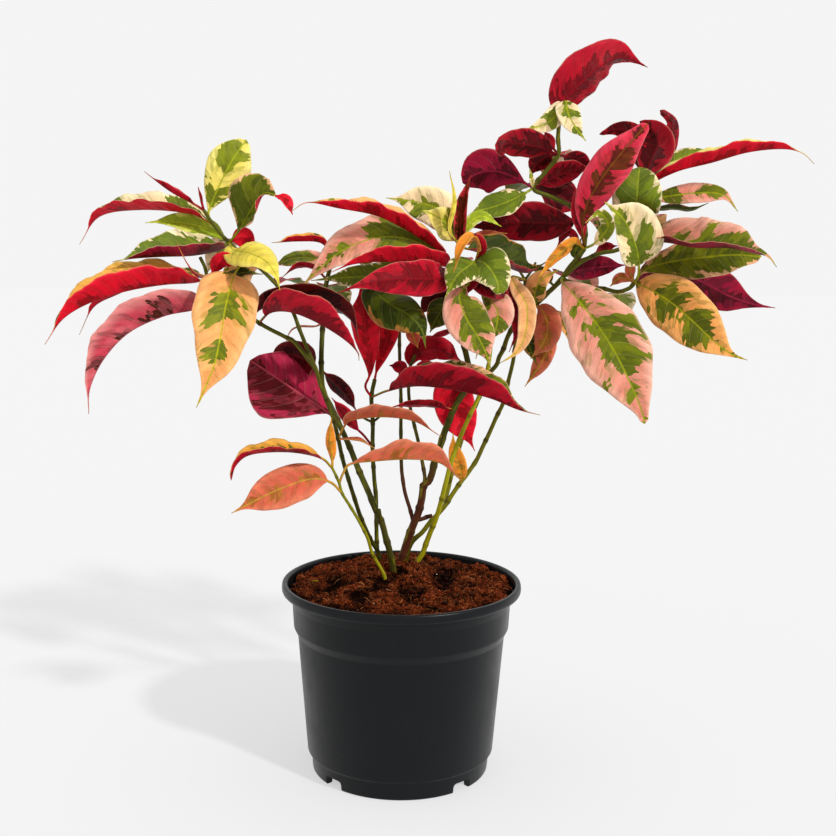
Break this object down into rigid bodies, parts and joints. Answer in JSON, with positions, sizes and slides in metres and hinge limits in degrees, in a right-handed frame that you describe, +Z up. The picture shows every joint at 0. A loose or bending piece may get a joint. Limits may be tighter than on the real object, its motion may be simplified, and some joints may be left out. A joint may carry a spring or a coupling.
{
  "type": "potted variegated croton shrub",
  "caption": "Potted shrub with thin branching stems and folded, pointed leaves, crimson below and variegated above, in a stepped plastic nursery pot.",
  "frame": {"origin": "centre of the pot's foot, on the ground", "axes": "+Z up along the pot's axis, -Y towards the side the plant is seen from, +X to the viewer's right"},
  "size_m": [0.5059, 0.1775, 0.5127],
  "materials": {
    "pot": "black moulded plastic with a soft sheen",
    "soil": "coarse reddish brown potting fibre",
    "leafy_stem_front_left": "thin yellow-green stem with coral leaves",
    "leafy_stem_left": "green stem with leaves green, cream and peach above and crimson below",
    "leafy_stem_middle_left": "dark green stem with red, pink and green leaves",
    "leafy_stem_brown": "woody brown stem with crimson, pink and dark green leaves",
    "leafy_stem_yellow": "yellow-green stem with pink, cream and green leaves",
    "leafy_stem_right": "olive green stem with pink, cream and green leaves, crimson below"
  },
  "bodies": {
    "root": {"pot": "pot", "soil": "soil", "leafy_stem_front_left": "leafy_stem_front_left", "leafy_stem_left": "leafy_stem_left", "leafy_stem_middle_left": "leafy_stem_middle_left", "leafy_stem_brown": "leafy_stem_brown", "leafy_stem_yellow": "leafy_stem_yellow", "leafy_stem_right": "leafy_stem_right"}
  },
  "joints": []
}
